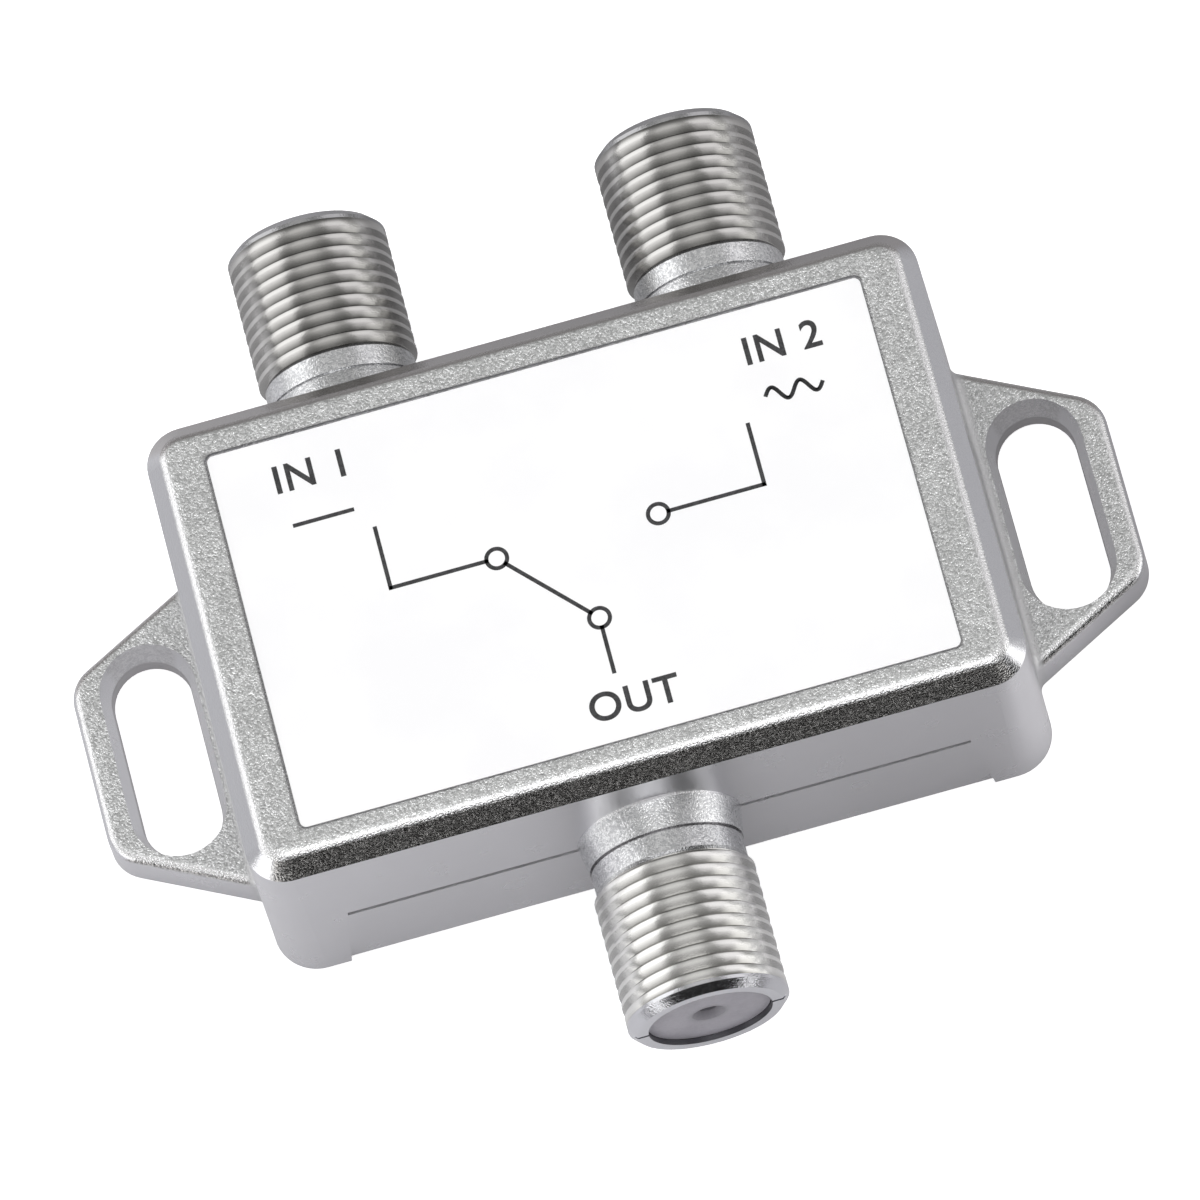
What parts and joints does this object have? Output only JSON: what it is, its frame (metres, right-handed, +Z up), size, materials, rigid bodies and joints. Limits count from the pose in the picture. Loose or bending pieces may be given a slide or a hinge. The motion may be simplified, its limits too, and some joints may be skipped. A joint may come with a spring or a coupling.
{
  "type": "satellite switch",
  "caption": "Flat die-cast metal box with threaded coaxial sockets front and rear, slotted mounting ears and a label; a tone-controlled satellite signal switch.",
  "frame": {"origin": "centre of the mounting plane, under the middle of the box", "axes": "+X to the right along the ears, +Y towards the input sockets, +Z up through the label"},
  "size_m": [0.0626, 0.0532, 0.0158],
  "materials": {
    "satin_nickel_casting": "satin nickel plate on a zinc die casting, fine sandy grain on top",
    "white_label": "white film label, matt",
    "tinplate": "bright tinned sheet, fine rolling lines",
    "board_laminate": "green solder mask on glass laminate",
    "screw_steel": "zinc plated steel",
    "black_epoxy": "moulded black epoxy",
    "capacitor_can": "drawn aluminium can",
    "dark_ferrite": "sintered ferrite with enamelled wire",
    "tan_ceramic": "fired ceramic, tinned ends",
    "resistor_film": "black glaze, tinned ends",
    "solder": "bright solder",
    "insulator_plastic": "natural pale grey moulded plastic",
    "contact_bronze": "tinned phosphor bronze strip"
  },
  "bodies": {
    "switch_box": {"housing": "satin_nickel_casting", "label": "white_label", "back_cover": "tinplate", "circuit_board": "board_laminate", "board_screws": "screw_steel", "tone_detector_chip": "black_epoxy", "voltage_regulator": "black_epoxy", "switching_transistors": "black_epoxy", "driver_transistors": "black_epoxy", "rf_diodes": "black_epoxy", "electrolytic_capacitors": "capacitor_can", "rf_chokes": "dark_ferrite", "chip_capacitors": "tan_ceramic", "chip_resistors": "resistor_film", "solder_joints": "solder", "front_insulator_input_1": "insulator_plastic", "rear_insulator_input_1": "insulator_plastic", "contact_tail_input_1": "contact_bronze", "front_insulator_input_2": "insulator_plastic", "rear_insulator_input_2": "insulator_plastic", "contact_tail_input_2": "contact_bronze", "front_insulator_output": "insulator_plastic", "rear_insulator_output": "insulator_plastic", "contact_tail_output": "contact_bronze"},
    "upper_leaf_input_1": {"contact_leaf_upper_input_1": "contact_bronze"},
    "lower_leaf_input_1": {"contact_leaf_lower_input_1": "contact_bronze"},
    "upper_leaf_input_2": {"contact_leaf_upper_input_2": "contact_bronze"},
    "lower_leaf_input_2": {"contact_leaf_lower_input_2": "contact_bronze"},
    "upper_leaf_output": {"contact_leaf_upper_output": "contact_bronze"},
    "lower_leaf_output": {"contact_leaf_lower_output": "contact_bronze"}
  },
  "joints": [
    {"name": "input_1_upper_leaf_bend", "type": "hinge", "parent": "switch_box", "child": "upper_leaf_input_1", "pos_m": [-0.01114, 0.0178, 0.0083], "axis": [1, 0, 0], "range_deg": [0, 4.5], "stiffness_Nm_per_rad": 0.15},
    {"name": "input_1_lower_leaf_bend", "type": "hinge", "parent": "switch_box", "child": "lower_leaf_input_1", "pos_m": [-0.01114, 0.0178, 0.0061], "axis": [-1, 0, 0], "range_deg": [0, 4.5], "stiffness_Nm_per_rad": 0.15},
    {"name": "input_2_upper_leaf_bend", "type": "hinge", "parent": "switch_box", "child": "upper_leaf_input_2", "pos_m": [0.01114, 0.0178, 0.0083], "axis": [1, 0, 0], "range_deg": [0, 4.5], "stiffness_Nm_per_rad": 0.15},
    {"name": "input_2_lower_leaf_bend", "type": "hinge", "parent": "switch_box", "child": "lower_leaf_input_2", "pos_m": [0.01114, 0.0178, 0.0061], "axis": [-1, 0, 0], "range_deg": [0, 4.5], "stiffness_Nm_per_rad": 0.15},
    {"name": "output_upper_leaf_bend", "type": "hinge", "parent": "switch_box", "child": "upper_leaf_output", "pos_m": [0, -0.0178, 0.0083], "axis": [-1, 0, 0], "range_deg": [0, 4.5], "stiffness_Nm_per_rad": 0.15},
    {"name": "output_lower_leaf_bend", "type": "hinge", "parent": "switch_box", "child": "lower_leaf_output", "pos_m": [0, -0.0178, 0.0061], "axis": [1, 0, 0], "range_deg": [0, 4.5], "stiffness_Nm_per_rad": 0.15}
  ]
}
